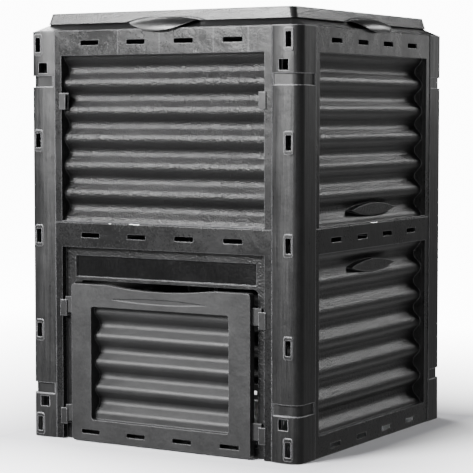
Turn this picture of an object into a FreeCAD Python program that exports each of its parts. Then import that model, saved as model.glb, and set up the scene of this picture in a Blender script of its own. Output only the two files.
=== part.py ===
import FreeCAD, Part
import math
import os
import re
import Sketcher
from FreeCAD import Placement, Rotation, Vector

# Square garden compost bin in moulded black plastic: four corner posts, two tiers of corrugated wall
# panels, a chamfered top rim, a lift-off lid and a lift-out hatch held by six small keepers.
# Origin: centre of the open base, on the ground. +Z is up, and the hatch side faces -Y.
# Depths are measured inwards from the outer faces of the posts, which are sizes.half from the centre.

SIZES = {
    # overall
    "half": 305, "post_top": 800, "split": 428, "gap": 0.3,
    # overlap: how far shapes that become one solid run into each other; beyond: how far a cut runs past
    "overlap": 1, "beyond": 5,
    # corner posts
    "leg": 60, "post_wall": 5, "post_corner": 21, "flange": 3, "channel": 4.2, "web_from": 14,
    "lip_from": 1.8, "belt_from": 4, "barrel": 110, "bulge": 2.2,
    "slot_pitch": 187, "slot_wide": 12, "slot_tall": 28, "slot_in": 23,
    "bezel": 3.5, "bezel_proud": 1, "bezel_round": 4.5,
    "square": 20, "square_in": 34, "square_rise": 328.6,
    "belt_rise": 302.6, "belt": 21.5, "belt_deep": 2.8,
    # wall panels
    "face_in": 1.5, "skin": 3, "strip": 16, "band": 48, "base_band": 42, "tongue": 14, "sheet": 2.4,
    "wave_deep": 16, "wall_crest": 12, "flank": 45,
    "vent_pitch": 107.7, "vent_long": 42, "vent_tall": 9, "vent_base": 16,
    "plaque_half": 93, "plaque_rise": 12, "plaque_in": 12.5, "plaque_shift": 16,
    "plaque_drop": 26, "plaque_drop_low": 36,
    # hatch surround
    "corner": 28, "border_in": 14.5, "mouth_half": 209, "mouth_top": 315, "sill": 20, "jamb_deep": 24,
    "blank_half": 205, "blank_low": 322, "blank_high": 363, "blank_deep": 4,
    # hatch
    "hatch_half": 203, "hatch_low": 1.5, "hatch_high": 309,
    "hatch_proud": 5, "hatch_skin": 4, "hatch_edge": 16,
    "light_half": 156.5, "light_low": 44, "light_high": 266, "light_round": 6, "hatch_pitch": 50.5,
    "hatch_crest": 7.6, "hatch_vent": 105.5, "hatch_vent_high": 20.2, "dip_half": 118, "dip": 8,
    "pull_half": 108, "pull_rise": 5, "pull_high": 282, "pull_deep": 2.2,
    # keepers and the hatch's lugs
    "keeper_tall": 32, "keeper_in": 11, "keeper_lap": 4, "keeper_thick": 2.5,
    "keeper_deep": 12.5, "keeper_shallow": 9.5,
    "keeper_low": 46, "keeper_mid": 260, "keeper_high": 664,
    "lug_lift": 6.5, "lug_long": 20, "lug_in": 2.2,
    # rim and lid
    "chamfer_in": 28, "chamfer_tall": 14, "rim_skin": 3, "opening_in": 50, "rim_skirt": 21,
    "lid_low": 814.3, "lid_high": 835.5, "lid_in": 24.5, "lid_lean": 5, "lid_round": 12, "lid_wall": 4,
    "lid_panel_in": 62, "spigot_in": 53, "spigot_drop": 11, "rib": 3, "rib_tall": 8,
    # finger grips of the lid
    "grip_half": 77, "grip_long": 108.7, "grip_out": 30, "grip_tall": 25.5, "grip_skin": 2.8,
    "grip_base": 797, "grip_drop": 20, "grip_centre_in": 21, "grip_root": 4,
    "recess_round": 3.5, "recess_deep": 2.5,
}

WALL_WAVES = 6
HATCH_WAVES = 4
JOIN_TOLERANCE = 0.01

doc = FreeCAD.newDocument("compost_bin")
sheet = doc.addObject("Spreadsheet::Sheet", "sizes")
for row, (alias, number) in enumerate(SIZES.items(), start=1):
    sheet.set("A%d" % row, alias)
    sheet.set("B%d" % row, str(number))
    sheet.setAlias("B%d" % row, alias)
doc.recompute()


# ---- formulas: words in a formula are cells of the sheet ----

def formula(text):
    """The text with every cell name pointing into the sheet."""
    return re.sub(r"[a-z][a-z_]*", lambda word: "sizes." + word.group(), text)


def value(text):
    """The formula's present value in millimetres."""
    return float(sheet.evalExpression(formula(text)))


def bind(thing, **formulas):
    """Binds properties to formulas; a double underscore stands for the dot in a property's name."""
    for name, text in formulas.items():
        thing.setExpression(name.replace("__", "."), formula(text))
    return thing


def minus(text):
    return "-(" + text + ")"


# ---- Part primitives and booleans ----

def box(name, x, y, z):
    """A box between three pairs of formulas."""
    block = doc.addObject("Part::Box", name)
    sides = zip(("Length", "Width", "Height"), ("x", "y", "z"), (x, y, z))
    for side, axis, (low, high) in sides:
        block.setExpression(side, formula("(" + high + ") - (" + low + ")"))
        block.setExpression("Placement.Base." + axis, formula(low))
    return block


def disc(name, radius, x, z, near, far):
    """A cylinder lying along Y between two depths from the middle."""
    drum = doc.addObject("Part::Cylinder", name)
    drum.Placement = Placement(Vector(), Rotation(Vector(1, 0, 0), -90))
    return bind(drum, Radius=radius, Height="(" + far + ") - (" + near + ")",
                Placement__Base__x=x, Placement__Base__y=near, Placement__Base__z=z)


def cut(name, base, tool):
    result = doc.addObject("Part::Cut", name)
    result.Base, result.Tool = base, tool
    return result


def common(name, base, tool):
    result = doc.addObject("Part::Common", name)
    result.Base, result.Tool = base, tool
    return result


def fuse(name, shapes):
    result = doc.addObject("Part::MultiFuse", name)
    result.Shapes = shapes
    result.Refine = True
    return result


def arc_radius(half, rise):
    """Formula for the radius of an arc over a chord of twice half that rises by rise."""
    return "((" + half + ")^2 + (" + rise + ")^2) / (2 * (" + rise + "))"


def upright(name, radius, x, y, height):
    """A cylinder standing on the ground."""
    drum = doc.addObject("Part::Cylinder", name)
    return bind(drum, Radius=radius, Height=height, Placement__Base__x=x, Placement__Base__y=y)


def lens(name, half, rise, x, z, near, far):
    """A lens-shaped prism along Y: two arcs between the points half to each side of x, at height z."""
    radius = arc_radius(half, rise)
    offset = "(" + radius + " - (" + rise + "))"
    upper = disc(name + "_upper", radius, x, z + " - " + offset, near, far)
    lower = disc(name + "_lower", radius, x, z + " + " + offset, near, far)
    return common(name, upper, lower)


# ---- PartDesign bodies made from right-angled sketches ----

def new_body(name):
    body = doc.addObject("PartDesign::Body", name)
    body.Label = name
    return body


def sketch_on(body, name, plane, offset):
    """An empty sketch on one of the body's own planes, moved along the plane's normal."""
    sketch = body.newObject("Sketcher::SketchObject", name)
    origin_plane = [part for part in body.Origin.OriginFeatures if part.Role == plane][0]
    sketch.AttachmentSupport = (origin_plane, "")
    sketch.MapMode = "FlatFace"
    return bind(sketch, AttachmentOffset__Base__z=offset)


def constrain(sketch, kind, *where, text=None):
    if text is None:
        sketch.addConstraint(Sketcher.Constraint(kind, *where))
        return
    index = sketch.addConstraint(Sketcher.Constraint(kind, *where, value(text)))
    sketch.setExpression("Constraints[%d]" % index, formula(text))


def add_outline(sketch, corners, rounds=None):
    """A closed outline of level and upright lines through the corners. rounds gives radii by corner."""
    rounds = rounds or {}
    count = len(corners)
    points = [Vector(value(x), value(y), 0) for x, y in corners]
    radii = [value(rounds[i]) if i in rounds else 0 for i in range(count)]
    ways = [(points[(i + 1) % count] - points[i]).normalize() for i in range(count)]
    lines = []
    for i in range(count):
        start = points[i] + ways[i] * radii[i]
        end = points[(i + 1) % count] - ways[i] * radii[(i + 1) % count]
        lines.append(sketch.addGeometry(Part.LineSegment(start, end)))
        level = abs(ways[i].y) < abs(ways[i].x)
        constrain(sketch, "Horizontal" if level else "Vertical", lines[i])
        along = ("DistanceY", corners[i][1]) if level else ("DistanceX", corners[i][0])
        constrain(sketch, along[0], -1, 1, lines[i], 1, text=along[1])
    for i in range(count):
        before = lines[i - 1]
        if i not in rounds:
            constrain(sketch, "Coincident", before, 2, lines[i], 1)
            continue
        start = points[i] - ways[i - 1] * radii[i]
        end = points[i] + ways[i] * radii[i]
        centre = start + ways[i] * radii[i]
        middle = centre + (points[i] - centre).normalize() * radii[i]
        arc = sketch.addGeometry(Part.Arc(start, middle, end))
        left_turn = ways[i - 1].cross(ways[i]).z > 0
        constrain(sketch, "Tangent", before, 2, arc, 1 if left_turn else 2)
        constrain(sketch, "Tangent", arc, 2 if left_turn else 1, lines[i], 1)
        constrain(sketch, "Radius", arc, text=rounds[i])


def rectangle(x, y):
    """Corners of a rectangle between two pairs of formulas, anticlockwise."""
    return [(x[0], y[0]), (x[1], y[0]), (x[1], y[1]), (x[0], y[1])]


def all_round(radius):
    return {corner: radius for corner in range(4)}


def square(half):
    return rectangle((minus(half), half), (minus(half), half))


def pad(body, sketch, length, reverse=False):
    feature = body.newObject("PartDesign::Pad", sketch.Name + "_pad")
    feature.Profile = sketch
    feature.Reversed = reverse
    return bind(feature, Length=length)


def pocket(body, sketch, length, reverse=False):
    """Cuts the sketch into the body, and makes sure that it took something away."""
    doc.recompute()
    volume = body.Shape.Volume
    feature = body.newObject("PartDesign::Pocket", sketch.Name + "_pocket")
    feature.Profile = sketch
    feature.Reversed = reverse
    bind(feature, Length=length)
    doc.recompute()
    if body.Shape.Volume > volume - 1:
        raise ValueError(feature.Name + " cuts nothing")
    return feature


def loft(body, kind, sketches):
    feature = body.newObject(kind, sketches[0].Name + "_loft")
    feature.Profile = sketches[0]
    feature.Sections = sketches[1:]
    feature.Ruled = True
    return feature


# ---- corner posts ----

def post_outline(sketch):
    """L section with a rounded corner, and a channel inside each leg for the panels' tongues.
    The front leg is thicker by the bulge, which the barrel then rounds off."""
    edge = "half - leg"
    inner = "half - post_wall"
    deep = inner + " - channel"
    deepest = deep + " - flange"
    web = edge + " + web_from"
    web_far = web + " + flange"
    lip = edge + " + lip_from"
    front_leg = [(edge, minus("half")), (edge, minus(inner)), (web, minus(inner)), (web, minus(deep)),
                 (lip, minus(deep)), (lip, minus(deepest)), (web_far, minus(deepest)),
                 (web_far, minus(inner))]
    side_leg = [(minus(y), minus(x)) for x, y in reversed(front_leg)]
    front = minus("half + bulge")
    corners = front_leg + [(inner, minus(inner))] + side_leg + [("half", front)]
    corners[0] = (edge, front)
    inner_corner = len(front_leg)
    add_outline(sketch, corners, {inner_corner: "post_corner - post_wall", len(corners) - 1: "post_corner"})


def heights_about_middle(*rises):
    """Formulas for heights that lie a rise above and below the middle of the post."""
    return ["post_top / 2" + sign + rise for rise in rises for sign in (" - ", " + ")]


def post_body(name):
    """The front right post's L section with its recessed belts, before its front is rounded."""
    body = new_body(name)
    profile = sketch_on(body, name + "_profile", "XY_Plane", "0")
    post_outline(profile)
    pad(body, profile, "post_top")
    for side, height in zip(("low", "high"), heights_about_middle("belt_rise")):
        belt = sketch_on(body, name + "_belt_" + side, "XY_Plane", height + " + belt / 2")
        start = "half - leg + belt_from"
        outside = "half + beyond"
        floor = "half - belt_deep"
        corners = [(start, minus(outside)), (outside, minus(outside)), (outside, minus(start)),
                   (floor, minus(start)), (floor, minus(floor)), (start, minus(floor))]
        add_outline(belt, corners, {4: "post_corner - belt_deep"})
        pocket(body, belt, "belt")
    return body


def make_post(name):
    """The front right post: a slightly barrelled front face with bezelled slots and square holes."""
    slot_heights = ["post_top / 2"] + heights_about_middle("slot_pitch", "slot_pitch * 2")
    barrel = upright(name + "_barrel", "barrel", "half - leg / 2", "barrel - half - bulge", "post_top")
    rounded = common(name + "_rounded", post_body(name + "_body"), barrel)
    bezels = new_body(name + "_bezels")
    holes = new_body(name + "_holes")
    frames = sketch_on(bezels, name + "_frames", "XZ_Plane", "half - post_wall")
    slots = sketch_on(holes, name + "_slots", "XZ_Plane", "half + beyond")
    middle = "half - slot_in"
    for height in slot_heights:
        frame_wide = "slot_wide / 2 + bezel"
        frame_tall = "slot_tall / 2 + bezel * 2"
        add_outline(frames, rectangle((middle + " - (" + frame_wide + ")", middle + " + " + frame_wide),
                                      (height + " - (" + frame_tall + ")", height + " + " + frame_tall)),
                    all_round("bezel_round"))
        add_outline(slots, rectangle((middle + " - slot_wide / 2", middle + " + slot_wide / 2"),
                                     (height + " - slot_tall / 2", height + " + slot_tall / 2")),
                    all_round("bezel / 3"))
    middle = "half - square_in"
    for height in heights_about_middle("square_rise"):
        add_outline(slots, rectangle((middle + " - square / 2", middle + " + square / 2"),
                                     (height + " - square / 2", height + " + square / 2")))
    pad(bezels, frames, "post_wall + bulge + bezel_proud")
    pad(holes, slots, "post_wall * 3", reverse=True)
    return cut(name, fuse(name + "_solid", [rounded, bezels]), holes)


def mirrored(name, source, normal):
    copy = doc.addObject("Part::Mirroring", name)
    copy.Label = name
    copy.Source = source
    copy.Normal = normal
    return copy


# ---- corrugated sheets ----

def arc_between(centre, radius, start, end):
    """Arc in the YZ plane about a (y, z) centre, from one angle to another."""
    def at(turn):
        return Vector(0, centre[0] + radius * math.cos(turn), centre[1] + radius * math.sin(turn))
    return Part.Arc(at(start), at((start + end) / 2), at(end)).toShape()


def wave_line(crest, low, high, pitch, waves, shift):
    """Edges of the sheet's front line, moved inwards by shift along its normal."""
    angle = math.radians(value("flank"))
    deep = value("wave_deep")
    radius = (pitch / 2 * math.sin(angle) - deep * math.cos(angle)) / (2 * (1 - math.cos(angle)))
    crest_y = -value("half") + crest
    first = (low + high - pitch * waves) / 2
    crest_radius = radius - shift
    hollow_radius = radius + shift
    arcs = []
    for i in range(waves + 1):
        centre = (crest_y + radius, first + pitch * i)
        start = math.pi if i == 0 else math.pi + angle
        end = math.pi if i == waves else math.pi - angle
        arcs.append(arc_between(centre, crest_radius, start, end))
        if i < waves:
            centre = (crest_y + deep - radius, first + pitch * (i + 0.5))
            arcs.append(arc_between(centre, hollow_radius, -angle, angle))
    edges = []
    corner = Vector(0, crest_y + shift, low)
    for arc in arcs:
        begin, finish = arc.valueAt(arc.FirstParameter), arc.valueAt(arc.LastParameter)
        if corner.distanceToPoint(begin) > JOIN_TOLERANCE:
            edges.append(Part.makeLine(corner, begin))
        edges.append(arc)
        corner = finish
    top = Vector(0, crest_y + shift, high)
    if corner.distanceToPoint(top) > JOIN_TOLERANCE:
        edges.append(Part.makeLine(corner, top))
    return edges


def wave_sheet(name, crest, low, high, pitch, waves, half_wide):
    """A corrugated sheet across the wall. Its section is drawn from the sheet's cells."""
    span = (value(low), value(high))
    front = wave_line(value(crest), span[0], span[1], pitch, waves, 0)
    back = wave_line(value(crest), span[0], span[1], pitch, waves, value("sheet"))
    front_y = -value("half") + value(crest)
    back_y = front_y + value("sheet")
    ends = [Part.makeLine(Vector(0, front_y, level), Vector(0, back_y, level)) for level in span]
    section = doc.addObject("Part::Feature", name + "_section")
    section.Shape = Part.Face(Part.Wire(Part.__sortEdges__(front + back + ends)))
    sheet_body = doc.addObject("Part::Extrusion", name)
    sheet_body.Base = section
    sheet_body.Dir = Vector(1, 0, 0)
    sheet_body.DirMode = "Custom"
    sheet_body.Solid = True
    sheet_body.Symmetric = True
    return bind(sheet_body, LengthFwd="(" + half_wide + ") * 2")


# ---- wall panels, modelled as the front wall and turned about Z ----

def panel_tongues(body, name, low, high):
    """The upright edge of each side, which slides into the posts' channels."""
    inner = "half - leg - strip"
    outer = "half - leg - gap"
    front = "half - face_in - overlap"
    tongue_front = "half - post_wall - gap"
    tongue_back = "half - post_wall - channel + gap"
    corners = [(inner, minus(front)), (outer, minus(front)), (outer, minus(tongue_front)),
               (outer + " + tongue", minus(tongue_front)), (outer + " + tongue", minus(tongue_back)),
               (inner, minus(tongue_back))]
    sketch = sketch_on(body, name + "_tongues", "XY_Plane", low)
    add_outline(sketch, corners)
    add_outline(sketch, [(minus(x), y) for x, y in reversed(corners)])
    pad(body, sketch, "(" + high + ") - (" + low + ")")


def vent_row(body, name, plane, height, pitch, long, tall, deep):
    """A row of four vents through a band."""
    holes = sketch_on(body, name, "XZ_Plane", plane)
    for place in ("-1.5", "-0.5", "0.5", "1.5"):
        middle = pitch + " * " + place
        wide = "(" + long + ") / 2"
        high = "(" + tall + ") / 2"
        add_outline(holes, rectangle((middle + " - " + wide, middle + " + " + wide),
                                     (height + " - " + high, height + " + " + high)),
                    all_round("skin / 2"))
    pocket(body, holes, deep)


def make_panel(name, turn, low, high, bottom_band, vent_heights, plaque_height=None):
    """A wall panel: a flat frame, walls down to a corrugated sheet, side tongues and rows of vents."""
    body = new_body(name + "_frame")
    base = low + " + gap"
    top = high + " - gap"
    light_low = low + " + " + bottom_band
    light_high = high + " - band"
    side = "half - leg - strip"
    frame = sketch_on(body, name + "_face", "XZ_Plane", "half - face_in")
    outer = "half - leg - gap"
    add_outline(frame, rectangle((minus(outer), outer), (base, top)))
    add_outline(frame, rectangle((minus(side), side), (light_low, light_high)))
    pad(body, frame, "skin", reverse=True)
    walls = sketch_on(body, name + "_walls", "XZ_Plane", "half - face_in")
    wall_low = light_low + " - skin + gap"
    wall_side = side + " + skin"
    add_outline(walls, rectangle((minus(wall_side), wall_side), (wall_low, light_high + " + skin")))
    add_outline(walls, rectangle((minus(side), side), (light_low, light_high)))
    pad(body, walls, "wall_crest + wave_deep + sheet - face_in", reverse=True)
    panel_tongues(body, name, base, top)
    for i, height in enumerate(vent_heights):
        vent_row(body, name + "_vents_%d" % i, "half - face_in", height, "vent_pitch", "vent_long",
                 "vent_tall", "skin * 2")
    corrugated = wave_sheet(name + "_sheet", "wall_crest", light_low + " - overlap",
                            light_high + " + overlap", (value(light_high) - value(light_low)) / WALL_WAVES,
                            WALL_WAVES, side + " + overlap")
    pieces = [body, corrugated]
    if plaque_height:
        pieces.append(lens(name + "_plaque", "plaque_half", "plaque_rise", "plaque_shift", plaque_height,
                           "-half + plaque_in", "-half + wall_crest + wave_deep + sheet / 2"))
    panel = fuse(name, pieces)
    panel.Placement = Placement(Vector(), Rotation(Vector(0, 0, 1), turn))
    return panel


def upside_down_u(half_wide, top, leg_wide, bar, bottom):
    """Corners of a doorway-shaped outline: two legs and a bar across the top."""
    inner = "(" + half_wide + ") - (" + leg_wide + ")"
    under = "(" + top + ") - (" + bar + ")"
    right = [(half_wide, bottom), (half_wide, top)]
    left = [(minus(half_wide), top), (minus(half_wide), bottom)]
    inside = [(minus(inner), bottom), (minus(inner), under), (inner, under), (inner, bottom)]
    return right + left + inside


def make_surround(name):
    """The lower front panel: a doorway with a recessed border, a blank strip over the mouth, and a sill."""
    body = new_body(name)
    side = "half - leg - strip"
    outer = "half - leg - gap"
    top = "split - gap"
    under_band = "split - band"
    face = sketch_on(body, name + "_face", "XZ_Plane", "half - face_in")
    add_outline(face, upside_down_u(outer, top, "strip - gap", "band - gap", "gap"))
    pad(body, face, "skin", reverse=True)
    walls = sketch_on(body, name + "_walls", "XZ_Plane", "half - face_in")
    add_outline(walls, upside_down_u(side + " + skin", under_band + " + skin", "skin", "skin", "gap"))
    pad(body, walls, "border_in + skin - face_in", reverse=True)
    border = sketch_on(body, name + "_border", "XZ_Plane", "half - border_in")
    border_half = side + " + overlap"
    add_outline(border, rectangle((minus(border_half), border_half), ("gap", under_band + " + overlap")))
    add_outline(border, rectangle((minus("mouth_half"), "mouth_half"), ("sill", "mouth_top")),
                {2: "corner / 3", 3: "corner / 3"})
    pad(body, border, "skin", reverse=True)
    jambs = sketch_on(body, name + "_jambs", "XZ_Plane", "half - border_in")
    add_outline(jambs, rectangle((minus("mouth_half + skin"), "mouth_half + skin"),
                                 ("sill - skin", "mouth_top + skin")))
    add_outline(jambs, rectangle((minus("mouth_half"), "mouth_half"), ("sill", "mouth_top")),
                {2: "corner / 3", 3: "corner / 3"})
    pad(body, jambs, "jamb_deep", reverse=True)
    blank = sketch_on(body, name + "_blank", "XZ_Plane", "half - border_in - overlap")
    add_outline(blank, rectangle((minus("blank_half + skin"), "blank_half + skin"),
                                 ("blank_low - skin", "blank_high + skin")))
    pad(body, blank, "blank_deep + skin - overlap", reverse=True)
    panel_tongues(body, name, "gap", top)
    recess = sketch_on(body, name + "_recess", "XZ_Plane", "half - border_in")
    add_outline(recess, rectangle((minus("blank_half"), "blank_half"), ("blank_low", "blank_high")))
    pocket(body, recess, "blank_deep")
    vent_row(body, name + "_vents", "half - face_in", "split - band / 2", "vent_pitch", "vent_long",
             "vent_tall", "skin * 2")
    return body


# ---- the hatch and its keepers ----

def block(name, half_wide, low, high, front, deep, radius):
    """A rounded block that runs inwards from a front plane."""
    body = new_body(name)
    sketch = sketch_on(body, name + "_outline", "XZ_Plane", front)
    add_outline(sketch, rectangle((minus(half_wide), half_wide), (low, high)), all_round(radius))
    pad(body, sketch, deep, reverse=True)
    return body


def make_hatch(name):
    """A tray-shaped door with a corrugated light, a dipped top edge, a finger groove, vents and four lugs."""
    front = "half + hatch_proud"
    dip = arc_radius("dip_half", "dip")
    dip_centre = "hatch_high - dip + " + dip
    outer = block(name + "_block", "hatch_half", "hatch_low", "hatch_high", front, "hatch_edge", "corner / 4")
    hollow = block(name + "_hollow", "hatch_half - skin", "hatch_low + skin", "hatch_high - skin",
                   front + " - hatch_skin", "hatch_edge", "corner / 7")
    near = "-half - hatch_edge"
    far = "-half + hatch_edge"
    edge_cut = disc(name + "_dip", dip, "0", dip_centre, near, far)
    hollow_cut = disc(name + "_dip_inner", dip + " + skin", "0", dip_centre, near, far)
    edge = cut(name + "_edge", outer, edge_cut)
    inside = cut(name + "_inside", hollow, hollow_cut)
    tray = cut(name + "_tray", edge, inside)
    deep = "hatch_proud + hatch_crest + wave_deep + sheet"
    light_walls = block(name + "_light_walls", "light_half + skin", "light_low - skin", "light_high + skin",
                        front, deep, "light_round")
    light = block(name + "_light", "light_half", "light_low", "light_high", front + " + beyond",
                  deep + " + beyond * 2", "light_round")
    pull = lens(name + "_pull", "pull_half", "pull_rise", "0", "pull_high",
                "-half - hatch_proud - beyond", "-half - hatch_proud + pull_deep")
    walls = fuse(name + "_walls", [tray, light_walls])
    frame = cut(name + "_frame", walls, fuse(name + "_cuts", [light, pull]))
    body = new_body(name + "_body")
    body.BaseFeature = frame
    doc.recompute()
    vent_row(body, name + "_vents", front, "hatch_vent_high", "hatch_vent", "vent_long", "vent_tall - 1",
             "hatch_skin * 2")
    corrugated = wave_sheet(name + "_sheet", "hatch_crest", "light_low - overlap", "light_high + overlap",
                            value("hatch_pitch"), HATCH_WAVES, "light_half + overlap")
    lugs = []
    for side in ("left", "right"):
        for level in ("low", "mid"):
            root = "hatch_half - overlap"
            tip = "hatch_half + lug_long"
            across = (root, tip) if side == "right" else (minus(tip), minus(root))
            middle = "keeper_" + level + " + lug_lift"
            lugs.append(box(name + "_lug_" + level + "_" + side, across,
                            ("-half + lug_in", "-half + hatch_edge - hatch_proud - gap * 2"),
                            (middle + " - keeper_tall / 2", middle + " + keeper_tall / 2")))
    return fuse(name, [body, corrugated] + lugs)


def make_keeper(name, height, deep):
    """A right-hand keeper: a plate lapped over the panel's strip, a web down the wall and a return lip."""
    edge = "half - leg - strip"
    front = "half - face_in + keeper_thick"
    face = "half - face_in"
    web_out = edge + " - gap"
    web_in = web_out + " - keeper_thick"
    back = face + " - " + deep
    lip = back + " + keeper_thick - gap"
    inner = edge + " - keeper_in"
    lap = edge + " + keeper_lap"
    corners = [(inner, minus(front)), (lap, minus(front)), (lap, minus(face)), (web_out, minus(face)),
               (web_out, minus(back)), (inner, minus(back)), (inner, minus(lip)), (web_in, minus(lip)),
               (web_in, minus(face)), (inner, minus(face))]
    body = new_body(name)
    sketch = sketch_on(body, name + "_section", "XY_Plane", height + " - keeper_tall / 2")
    add_outline(sketch, corners)
    pad(body, sketch, "keeper_tall")
    return body


# ---- top rim and lid ----

def level_square(body, name, height, half, radius):
    sketch = sketch_on(body, name, "XY_Plane", height)
    add_outline(sketch, square(half), all_round(radius))
    return sketch


def make_rim(name):
    """A square ring: a chamfered skirt on the posts, a ledge for the lid, a skirt round the opening."""
    body = new_body(name)
    top = "post_top + chamfer_tall"
    ledge = "half - chamfer_in"
    loft(body, "PartDesign::AdditiveLoft",
         [level_square(body, name + "_foot", "post_top", "half", "post_corner"),
          level_square(body, name + "_ledge", top, ledge, "corner / 3")])
    loft(body, "PartDesign::SubtractiveLoft",
         [level_square(body, name + "_hollow_foot", "post_top", "half - rim_skin",
                       "post_corner - rim_skin"),
          level_square(body, name + "_hollow_top", top + " - rim_skin", ledge, "corner / 3")])
    opening = "half - opening_in"
    skirt = level_square(body, name + "_skirt", top + " - rim_skirt - rim_skin", opening + " + rim_skin",
                         "corner / 3")
    pad(body, skirt, "rim_skirt + rim_skin / 2")
    mouth = level_square(body, name + "_mouth", top + " + beyond", opening, "corner / 4")
    pocket(body, mouth, "rim_skirt * 2")
    return body


def grip_shell(name, long, out, tall):
    """An egg-shaped solid on the lid's front side; the grip is the skin between two of them."""
    egg = doc.addObject("Part::Ellipsoid", name)
    egg.Angle1, egg.Angle2, egg.Angle3 = -90, 90, 360
    return bind(egg, Radius1=tall, Radius2=long, Radius3=out, Placement__Base__y="-half + grip_centre_in",
                Placement__Base__z="grip_base")


def make_grip(name):
    """A lens-shaped finger grip that bulges out from the lid's front side and hangs over the rim."""
    outer = grip_shell(name + "_outer", "grip_long", "grip_out", "grip_tall")
    inner = grip_shell(name + "_inner", "grip_long - grip_skin", "grip_out - grip_skin",
                       "grip_tall - grip_skin")
    radius = arc_radius("grip_half", "grip_drop")
    lower_arc = disc(name + "_trim", radius, "0", "lid_low + overlap - grip_drop + " + radius,
                     "-half - grip_out", "-half + lid_in + grip_root")
    over_rim = box(name + "_over_rim", ("-grip_long", "grip_long"),
                   ("-half + lid_in - skin", "-half + lid_panel_in"), ("lid_low - grip_drop", "lid_low"))
    skin = cut(name + "_skin", outer, inner)
    return common(name, cut(name + "_open", skin, over_rim), lower_arc)


def grip_recess(name):
    """The arched recess in the lid's side round a grip."""
    egg = grip_shell(name + "_egg", "grip_long + recess_round * 2", "grip_out + recess_round",
                     "grip_tall + recess_round")
    slab = box(name + "_slab", ("-grip_long", "grip_long"), ("-half", "-half + lid_in + recess_deep"),
               ("lid_low - beyond", "lid_high"))
    return common(name, egg, slab)


def make_lid(name):
    """A shallow tray turned over, with a sunk top panel, a spigot, ribs and four finger grips."""
    body = new_body(name + "_shell")
    half_low = "half - lid_in"
    half_high = half_low + " - lid_lean"
    loft(body, "PartDesign::AdditiveLoft",
         [level_square(body, name + "_low", "lid_low", half_low, "lid_round"),
          level_square(body, name + "_high", "lid_high", half_high, "lid_round")])
    loft(body, "PartDesign::SubtractiveLoft",
         [level_square(body, name + "_hollow_low", "lid_low", half_low + " - lid_wall",
                       "lid_round - lid_wall"),
          level_square(body, name + "_hollow_high", "lid_high - lid_wall", half_high + " - lid_wall",
                       "lid_round - lid_wall")])
    spigot = sketch_on(body, name + "_spigot", "XY_Plane", "lid_low - spigot_drop")
    add_outline(spigot, square("half - spigot_in"), all_round("lid_round / 2"))
    add_outline(spigot, square("half - spigot_in - skin"), all_round("lid_round / 2 - skin / 2"))
    pad(body, spigot, "lid_high - lid_low + spigot_drop - lid_wall / 2")
    ribs = sketch_on(body, name + "_ribs", "XY_Plane", "lid_high - lid_wall / 2 - rib_tall")
    cross_ribs = sketch_on(body, name + "_cross_ribs", "XY_Plane", "lid_high - lid_wall / 2 - rib_tall")
    reach = "half - spigot_in - overlap"
    for place in ("-0.5", "0.5"):
        middle = "(half - spigot_in) * " + place
        along = (minus(reach), reach)
        across = (middle + " - rib / 2", middle + " + rib / 2")
        add_outline(ribs, rectangle(along, across))
        add_outline(cross_ribs, rectangle(across, along))
    pad(body, ribs, "rib_tall")
    pad(body, cross_ribs, "rib_tall")
    sunk = level_square(body, name + "_sunk", "lid_high + beyond", "half - lid_panel_in", "lid_round")
    pocket(body, sunk, "lid_wall / 2 + beyond")
    recesses = []
    grips = []
    for i in range(4):
        turn = Placement(Vector(), Rotation(Vector(0, 0, 1), 90 * i))
        recesses.append(grip_recess(name + "_recess_%d" % i))
        grips.append(make_grip(name + "_grip_%d" % i))
        recesses[-1].Placement = turn
        grips[-1].Placement = turn
    shell = cut(name + "_tray", body, fuse(name + "_recesses", recesses))
    return fuse(name, [shell] + grips)


# ---- the whole bin ----

nodes = {}
nodes["post_front_right"] = make_post("post_front_right")
nodes["post_front_left"] = mirrored("post_front_left", nodes["post_front_right"], Vector(1, 0, 0))
nodes["post_back_right"] = mirrored("post_back_right", nodes["post_front_right"], Vector(0, 1, 0))
nodes["post_back_left"] = mirrored("post_back_left", nodes["post_front_left"], Vector(0, 1, 0))

UPPER_VENTS = ["post_top - band / 2"]
LOWER_VENTS = ["split - band / 2", "vent_base"]
nodes["panel_upper_front"] = make_panel("panel_upper_front", 0, "split", "post_top", "skin", UPPER_VENTS)
nodes["panel_lower_front"] = make_surround("panel_lower_front")
for side, turn in (("right", 90), ("back", 180), ("left", 270)):
    upper = "panel_upper_" + side
    lower = "panel_lower_" + side
    nodes[upper] = make_panel(upper, turn, "split", "post_top", "skin", UPPER_VENTS, "split + plaque_drop")
    nodes[lower] = make_panel(lower, turn, "0", "split", "base_band", LOWER_VENTS,
                              "split - band - plaque_drop_low")
nodes["hatch"] = make_hatch("hatch")
for level, deep in (("low", "keeper_deep"), ("mid", "keeper_deep"), ("high", "keeper_shallow")):
    right = "keeper_" + level + "_right"
    left = "keeper_" + level + "_left"
    nodes[right] = make_keeper(right, "keeper_" + level, deep)
    nodes[left] = mirrored(left, nodes[right], Vector(1, 0, 0))
nodes["top_rim"] = make_rim("top_rim")
nodes["lid"] = make_lid("lid")

doc.recompute()
for thing in doc.Objects:
    if "Invalid" in thing.State or "Error" in thing.State:
        raise ValueError("%s is %s" % (thing.Name, thing.State))

os.makedirs("parts", exist_ok=True)
for name, node in nodes.items():
    node.Label = name
    shape = node.Shape
    if shape.isNull() or not shape.isValid() or not shape.Solids:
        raise ValueError(name + " has no valid solid")
    print("%-20s solids %d  volume %.0f cm3" % (name, len(shape.Solids), shape.Volume / 1000))
    shape.exportStep(os.path.join("parts", name + ".step"))
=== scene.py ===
from math import cos, pi, radians, sin

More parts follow.
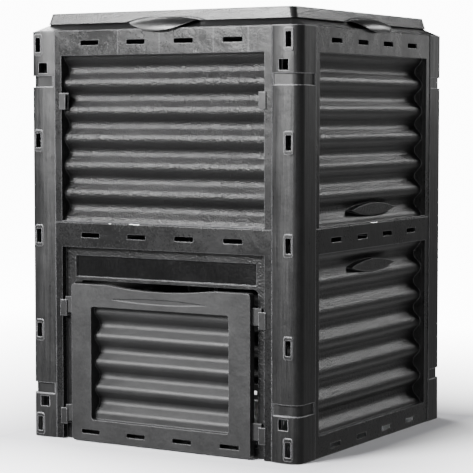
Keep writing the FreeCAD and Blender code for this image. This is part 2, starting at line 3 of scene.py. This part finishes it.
import bpy
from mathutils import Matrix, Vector

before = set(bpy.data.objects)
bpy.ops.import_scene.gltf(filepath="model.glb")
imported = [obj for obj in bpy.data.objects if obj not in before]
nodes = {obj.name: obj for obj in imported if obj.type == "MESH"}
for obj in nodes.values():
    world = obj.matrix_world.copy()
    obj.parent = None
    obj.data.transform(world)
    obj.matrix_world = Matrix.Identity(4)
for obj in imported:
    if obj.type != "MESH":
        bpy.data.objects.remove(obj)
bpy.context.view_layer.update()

# Moulded black plastic compost bin. Everything is in metres: X runs along the front, the front faces -Y.

# Edges: how wide the modelled bevel is, and how far the shading rounds them.
EDGE_BEVEL = 0.0009
SHADED_RADIUS = 0.0024
SHARP_ANGLE = radians(40)
BEVEL_ANGLE = radians(32)
FLAT_ANGLE = radians(0.5)
WELD_GAP = 0.00001

# Faces nearer the middle of the bin than the first distance are sunk, and past the second they are outer.
SUNK_FACES = (0.294, 0.300)
OUTER_GRAIN = 0.10

# Moulding marks: how large each is, and how much it changes the roughness.
CLOUD_SIZE = 0.07
CLOUD_GLOSS = 0.04
SPECKLE_TO_GRAIN = 1.4
SPECKLE_GLOSS = 0.04
WARP_SIZE = 0.04
STREAK_SIZE = 0.004
STREAK_STRETCH = (1, 1, 0.03)
STREAK_GLOSS = 0.07
COOL_TINT = 1.04

# The blank strip over the doorway.
STRIP_WIDE = (-0.205, 0.205)
STRIP_TALL = (0.3225, 0.3625)
# How much the strip's colour is darkened, as painted shade.
STRIP_SHADE = 0.6
STRIP_GLOSS = -0.16
STRIP_GRAIN = 0.2

# The pale lines on the front's top band.
TOP_BAND = (0.753, 0.800)
RIB_PLACES = (-0.095, 0.0, 0.12, 0.195)
RIB_LINE = 0.0018
RIB_PALENESS = 0.06


# ---- shader helpers ----

class Shader:
    """A material's node tree, built by small calls that return output sockets."""

    def __init__(self, name):
        self.material = bpy.data.materials.new(name)
        self.material.use_nodes = True
        self.tree = self.material.node_tree
        self.surface = self.tree.nodes["Principled BSDF"]
        self.place = self.node("ShaderNodeTexCoord").outputs["Object"]

    def node(self, kind, **inputs):
        """A new node. Each keyword is an input's name, and gives it a value or a link."""
        made = self.tree.nodes.new(kind)
        for name, given in inputs.items():
            self.feed(made.inputs[name.replace("_", " ")], given)
        return made

    def feed(self, socket, given):
        """Links the input socket to another socket, or sets its value."""
        if isinstance(given, bpy.types.NodeSocket):
            self.tree.links.new(given, socket)
        else:
            socket.default_value = given

    def stretched(self, scale):
        """Object position, scaled differently along each axis."""
        return self.node("ShaderNodeMapping", Vector=self.place, Scale=scale).outputs["Vector"]

    def noise(self, size, detail=2.0, stretch=(1, 1, 1), roughness=0.5):
        """Noise from 0 to 1 whose features are about size metres across."""
        where = self.place if stretch == (1, 1, 1) else self.stretched(stretch)
        made = self.node("ShaderNodeTexNoise", Vector=where, Scale=1 / size, Detail=detail,
                         Roughness=roughness)
        return made.outputs["Fac"]

    def math(self, operation, first, second=0.0):
        """The two sockets or values combined by the operation."""
        made = self.tree.nodes.new("ShaderNodeMath")
        made.operation = operation
        self.feed(made.inputs[0], first)
        self.feed(made.inputs[1], second)
        return made.outputs[0]

    def remap(self, socket, low, high, start=0.3, end=0.7):
        """The socket's range from start to end stretched to low and high."""
        made = self.node("ShaderNodeMapRange", Value=socket)
        for name, given in (("From Min", start), ("From Max", end), ("To Min", low), ("To Max", high)):
            made.inputs[name].default_value = given
        return made.outputs["Result"]

    def axis(self, name):
        """The object position along X, Y or Z."""
        return self.node("ShaderNodeSeparateXYZ", Vector=self.place).outputs[name]

    def between(self, axis, low, high):
        """1 where the position along the axis is between low and high, and 0 elsewhere."""
        place = self.axis(axis)
        above = self.math("GREATER_THAN", place, low)
        below = self.math("LESS_THAN", place, high)
        return self.math("MULTIPLY", above, below)

    def lines(self, axis, places, width):
        """Soft lines across the axis: 1 in the middle of each line and 0 between them."""
        place = self.axis(axis)
        total = 0.0
        for middle in places:
            away = self.math("ABSOLUTE", self.math("SUBTRACT", place, middle))
            total = self.math("ADD", self.remap(away, 1.0, 0.0, 0.0, width), total)
        return total

    def grey(self, level):
        """A neutral, slightly cool colour from a brightness socket."""
        made = self.node("ShaderNodeCombineColor", Red=level, Green=level,
                         Blue=self.math("MULTIPLY", level, COOL_TINT))
        return made.outputs["Color"]

    def bump(self, height, under):
        """A height in metres laid over another normal."""
        made = self.node("ShaderNodeBump", Height=height, Normal=under, Distance=1.0, Strength=1.0)
        return made.outputs["Normal"]

    def rounding(self, radius):
        """(normal rounded over sharp edges, mask that is 1 on those edges)"""
        just_rounded, well_rounded = 0.985, 0.80
        rounded = self.node("ShaderNodeBevel", Radius=radius).outputs["Normal"]
        flat = self.node("ShaderNodeNewGeometry").outputs["Normal"]
        alike = self.tree.nodes.new("ShaderNodeVectorMath")
        alike.operation = "DOT_PRODUCT"
        self.feed(alike.inputs[0], rounded)
        self.feed(alike.inputs[1], flat)
        return rounded, self.remap(alike.outputs["Value"], 1.0, 0.0, well_rounded, just_rounded)

    def outwards(self):
        """How far out from the middle of the bin, along whichever of X and Y is larger."""
        across = self.math("ABSOLUTE", self.axis("X"))
        along = self.math("ABSOLUTE", self.axis("Y"))
        return self.math("MAXIMUM", across, along)


def plastic(name, tone, rough, grain, grain_depth, edge_highlight, warp=0.001, streak_depth=0.0, sunk_rough=0.0,
            detail=None):
    """Black moulded plastic: spark-eroded grain, cloudy gloss, flow marks and edges painted lighter as a
    highlight.
    The grain is full on sunk faces, which are also rougher by sunk_rough, and worn down on outer ones.
    detail(shader, level, roughness, height) may add marks of its own and returns the three changed."""
    shader = Shader(name)
    surface = shader.surface
    rounded, edge_highlight_mask = shader.rounding(SHADED_RADIUS)
    cloud = shader.noise(CLOUD_SIZE, detail=4)
    speckle = shader.noise(grain * SPECKLE_TO_GRAIN, detail=3, roughness=0.75)
    level = shader.math("MULTIPLY", shader.remap(cloud, tone * 0.8, tone * 1.2),
                        shader.remap(speckle, 0.6, 1.5))
    # Painted highlight: the edges' colour is made lighter by edge_highlight, standing in for light caught
    # on them.
    level = shader.math("ADD", level, shader.math("MULTIPLY", edge_highlight_mask, edge_highlight))
    roughness = shader.math("ADD", shader.remap(cloud, -CLOUD_GLOSS, CLOUD_GLOSS), rough)
    roughness = shader.math("ADD", roughness, shader.remap(speckle, -SPECKLE_GLOSS, SPECKLE_GLOSS))
    sunk = shader.remap(shader.outwards(), 1.0, OUTER_GRAIN, *SUNK_FACES)
    grained = shader.math("MULTIPLY", shader.noise(grain, detail=1), grain_depth)
    height = shader.math("MULTIPLY", grained, sunk)
    roughness = shader.math("ADD", roughness, shader.math("MULTIPLY", sunk, sunk_rough))
    warped = shader.math("MULTIPLY", shader.noise(WARP_SIZE, detail=3), warp)
    height = shader.math("ADD", height, warped)
    if streak_depth:
        streaks = shader.noise(STREAK_SIZE, detail=3, stretch=STREAK_STRETCH)
        height = shader.math("ADD", height, shader.math("MULTIPLY", streaks, streak_depth))
        roughness = shader.math("ADD", roughness, shader.remap(streaks, -STREAK_GLOSS, STREAK_GLOSS))
    if detail:
        level, roughness, height = detail(shader, level, roughness, height)
    shader.feed(surface.inputs["Base Color"], shader.grey(level))
    shader.feed(surface.inputs["Roughness"], roughness)
    shader.feed(surface.inputs["Normal"], shader.bump(height, rounded))
    return shader.material


def blank_strip(shader, level, roughness, height):
    """The strip over the doorway is polished smoother than the grained frame round it, and its colour is
    darkened as painted shade.
    """
    across = shader.between("X", *STRIP_WIDE)
    up = shader.between("Z", *STRIP_TALL)
    strip = shader.math("MULTIPLY", across, up)
    # Painted shade: the strip's colour is darkened to STRIP_SHADE of the frame's.
    level = shader.math("MULTIPLY", level, shader.remap(strip, 1.0, STRIP_SHADE, 0, 1))
    roughness = shader.math("ADD", roughness, shader.math("MULTIPLY", strip, STRIP_GLOSS))
    return level, roughness, shader.math("MULTIPLY", height, shader.remap(strip, 1.0, STRIP_GRAIN, 0, 1))


def sink_lines(shader, level, roughness, height):
    """Faint pale upright lines where ribs stand behind the front's top band."""
    band = shader.between("Z", *TOP_BAND)
    lines = shader.lines("X", RIB_PLACES, RIB_LINE)
    mark = shader.math("MULTIPLY", band, lines)
    level = shader.math("ADD", level, shader.math("MULTIPLY", mark, RIB_PALENESS))
    return level, roughness, height


post_plastic = plastic("post_plastic", tone=0.008, rough=0.38, grain=0.0030, grain_depth=0.0002,
                       edge_highlight=0.34, streak_depth=0.0003)
panel_plastic = plastic("panel_plastic", tone=0.006, rough=0.29, grain=0.0030, grain_depth=0.0012,
                        edge_highlight=0.16, warp=0.0012, sunk_rough=0.08)
front_plastic = plastic("front_plastic", tone=0.006, rough=0.27, grain=0.0028, grain_depth=0.0020,
                        edge_highlight=0.16, warp=0.0012, sunk_rough=0.08, detail=sink_lines)
surround_plastic = plastic("surround_plastic", tone=0.006, rough=0.27, grain=0.0034, grain_depth=0.0008,
                           edge_highlight=0.12, sunk_rough=0.04, detail=blank_strip)
hatch_plastic = plastic("hatch_plastic", tone=0.012, rough=0.48, grain=0.0025, grain_depth=0.0002,
                        edge_highlight=0.08, warp=0.0015, sunk_rough=0.08)
rim_plastic = plastic("rim_plastic", tone=0.008, rough=0.34, grain=0.0030, grain_depth=0.0006, edge_highlight=0.10)
keeper_plastic = plastic("keeper_plastic", tone=0.010, rough=0.40, grain=0.0025, grain_depth=0.0002,
                         edge_highlight=0.34)

# By node name, or else by the name's first word.
finishes = {
    "panel_upper_front": front_plastic, "panel_lower_front": surround_plastic,
    "post": post_plastic, "panel": panel_plastic, "hatch": hatch_plastic,
    "keeper": keeper_plastic, "top": rim_plastic, "lid": rim_plastic,
}


def smooth_by_angle(limit):
    """A node group that shades a mesh smooth except across edges sharper than the limit."""
    group = bpy.data.node_groups.new("smooth_by_angle", "GeometryNodeTree")
    group.interface.new_socket("Geometry", in_out="INPUT", socket_type="NodeSocketGeometry")
    group.interface.new_socket("Geometry", in_out="OUTPUT", socket_type="NodeSocketGeometry")
    start = group.nodes.new("NodeGroupInput")
    end = group.nodes.new("NodeGroupOutput")
    angle = group.nodes.new("GeometryNodeInputMeshEdgeAngle")
    sharper = group.nodes.new("FunctionNodeCompare")
    sharper.operation = "GREATER_THAN"
    sharper.inputs["B"].default_value = limit
    smooth = group.nodes.new("GeometryNodeSetShadeSmooth")
    normal = group.nodes.new("GeometryNodeSetMeshNormal")
    normal.mode = "SHARPNESS"
    normal.inputs["Remove Custom"].default_value = True
    group.links.new(angle.outputs["Unsigned Angle"], sharper.inputs["A"])
    group.links.new(start.outputs[0], smooth.inputs["Geometry"])
    group.links.new(smooth.outputs[0], normal.inputs["Mesh"])
    group.links.new(sharper.outputs[0], normal.inputs["Edge Sharpness"])
    group.links.new(normal.outputs[0], end.inputs[0])
    return group


smooth_group = smooth_by_angle(SHARP_ANGLE)


def soften(node, width):
    """Rounds a CAD node's sharp edges as a mould does."""
    weld = node.modifiers.new("weld", "WELD")
    weld.merge_threshold = WELD_GAP
    flat = node.modifiers.new("flat", "DECIMATE")
    flat.decimate_type = "DISSOLVE"
    flat.angle_limit = FLAT_ANGLE
    bevel = node.modifiers.new("bevel", "BEVEL")
    bevel.width = width
    bevel.segments = 2
    bevel.limit_method = "ANGLE"
    bevel.angle_limit = BEVEL_ANGLE
    smooth = node.modifiers.new("smooth", "NODES")
    smooth.node_group = smooth_group
    normals = node.modifiers.new("normals", "WEIGHTED_NORMAL")
    normals.keep_sharp = True
    normals.weight = 50


for name, node in nodes.items():
    node.data.materials.clear()
    node.data.materials.append(finishes.get(name) or finishes[name.split("_")[0]])
    soften(node, EDGE_BEVEL)


# ---- camera ----

CAMERA_PLACE = (1.884, -3.147, 0.641)
CAMERA_TURN = radians(31.08)
CAMERA_DIP = radians(3.92)

camera_data = bpy.data.cameras.new("camera")
camera_data.sensor_width = 36
camera_data.lens = 137.16
camera = bpy.data.objects.new("camera", camera_data)
camera.location = CAMERA_PLACE
camera.rotation_euler = (pi / 2 - CAMERA_DIP, 0, CAMERA_TURN)
bpy.context.scene.collection.objects.link(camera)
bpy.context.scene.camera = camera


# ---- light ----

BIN_MIDDLE = Vector((0, 0, 0.42))
SKY_STOPS = ((0.12, 1.0), (0.38, 0.22), (0.52, 0.17), (0.75, 0.09))
SKY_STRENGTH = 1.1


def softbox(name, azimuth, elevation, distance, wide, tall, power):
    """An area light aimed at the middle of the bin. Azimuth 0 is in front of it and 90 to its right."""
    data = bpy.data.lights.new(name, "AREA")
    data.shape = "RECTANGLE"
    data.size = wide
    data.size_y = tall
    data.energy = power
    light = bpy.data.objects.new(name, data)
    turn = radians(azimuth)
    rise = radians(elevation)
    way = Vector((sin(turn) * cos(rise), -cos(turn) * cos(rise), sin(rise)))
    light.location = BIN_MIDDLE + way * distance
    light.rotation_euler = way.to_track_quat("Z", "Y").to_euler()
    bpy.context.scene.collection.objects.link(light)


softbox("key", azimuth=-20, elevation=25, distance=3.2, wide=1.2, tall=0.9, power=310)
softbox("low_strip", azimuth=-21, elevation=8, distance=3.2, wide=0.5, tall=1.2, power=8)
softbox("side", azimuth=152, elevation=28, distance=4.0, wide=1.6, tall=0.5, power=46)
softbox("low_side", azimuth=152, elevation=7, distance=4.0, wide=1.2, tall=0.5, power=3.5)
softbox("front_fill", azimuth=20, elevation=10, distance=5.0, wide=2.0, tall=2.0, power=40)
softbox("rear_left", azimuth=240, elevation=34, distance=4.5, wide=2.0, tall=1.0, power=150)
softbox("left", azimuth=290, elevation=34, distance=4.5, wide=1.8, tall=0.9, power=110)

world = bpy.data.worlds.new("studio")
world.use_nodes = True
sky = world.node_tree
direction = sky.nodes.new("ShaderNodeTexCoord").outputs["Generated"]
upness = sky.nodes.new("ShaderNodeSeparateXYZ")
zone = sky.nodes.new("ShaderNodeMapRange")
zone.inputs["From Min"].default_value = -1
zone.inputs["From Max"].default_value = 1
ramp = sky.nodes.new("ShaderNodeValToRGB")
stops = ramp.color_ramp.elements
for place, level in SKY_STOPS:
    stop = stops.new(place)
    stop.color = (level, level, level, 1)
stops.remove(stops[0])
stops.remove(stops[-1])
sky.links.new(direction, upness.inputs[0])
sky.links.new(upness.outputs["Z"], zone.inputs["Value"])
sky.links.new(zone.outputs["Result"], ramp.inputs["Fac"])
sky.links.new(ramp.outputs["Color"], sky.nodes["Background"].inputs["Color"])
sky.nodes["Background"].inputs["Strength"].default_value = SKY_STRENGTH
bpy.context.scene.world = world


# ---- floor and backdrop: one pale sweep that curves up all round ----

SWEEP_FLAT = 4.5
SWEEP_BEND = 2.5
SWEEP_TOP = 9.0
SWEEP_BEND_STEPS = 12
SWEEP_SIDES = 64
FLOOR_DROP = 0.0005
GLOW_STRENGTH = 12.0
GLOW_STARTS = 0.35
GLOW_FULL = 1.8


def sweep_profile():
    """(distance from the middle, height) points of the sweep."""
    points = [(0.0, 0.0), (SWEEP_FLAT / 2, 0.0)]
    for i in range(SWEEP_BEND_STEPS + 1):
        turn = pi / 2 * i / SWEEP_BEND_STEPS
        points.append((SWEEP_FLAT + SWEEP_BEND * sin(turn), SWEEP_BEND - SWEEP_BEND * cos(turn)))
    points.append((SWEEP_FLAT + SWEEP_BEND, SWEEP_TOP))
    return points


def make_sweep():
    """The pale surface. It shows the bin's shadow and glows more further out, but lights nothing else."""
    profile = sweep_profile()
    vertices = []
    faces = []
    for distance, height in profile:
        for i in range(SWEEP_SIDES):
            turn = 2 * pi * i / SWEEP_SIDES
            vertices.append((distance * cos(turn), distance * sin(turn), height - FLOOR_DROP))
    for ring in range(len(profile) - 1):
        for i in range(SWEEP_SIDES):
            after = (i + 1) % SWEEP_SIDES
            inner = ring * SWEEP_SIDES
            outer = inner + SWEEP_SIDES
            faces.append((inner + i, inner + after, outer + after, outer + i))
    mesh = bpy.data.meshes.new("backdrop")
    mesh.from_pydata(vertices, [], faces)
    mesh.shade_smooth()
    sweep = bpy.data.objects.new("backdrop", mesh)
    bpy.context.scene.collection.objects.link(sweep)
    shader = Shader("backdrop")
    paleness = shader.remap(shader.noise(0.8), 0.86, 0.9)
    shader.feed(shader.surface.inputs["Base Color"], shader.grey(paleness))
    shader.feed(shader.surface.inputs["Roughness"], shader.remap(shader.noise(0.02), 0.85, 0.95))
    glow = shader.remap(shader.outwards(), 0.0, GLOW_STRENGTH, GLOW_STARTS, GLOW_FULL)
    shader.surface.inputs["Emission Color"].default_value = (1, 1, 1, 1)
    shader.feed(shader.surface.inputs["Emission Strength"], glow)
    mesh.materials.append(shader.material)
    sweep.visible_diffuse = False
    sweep.visible_glossy = False
    sweep.visible_shadow = False


make_sweep()
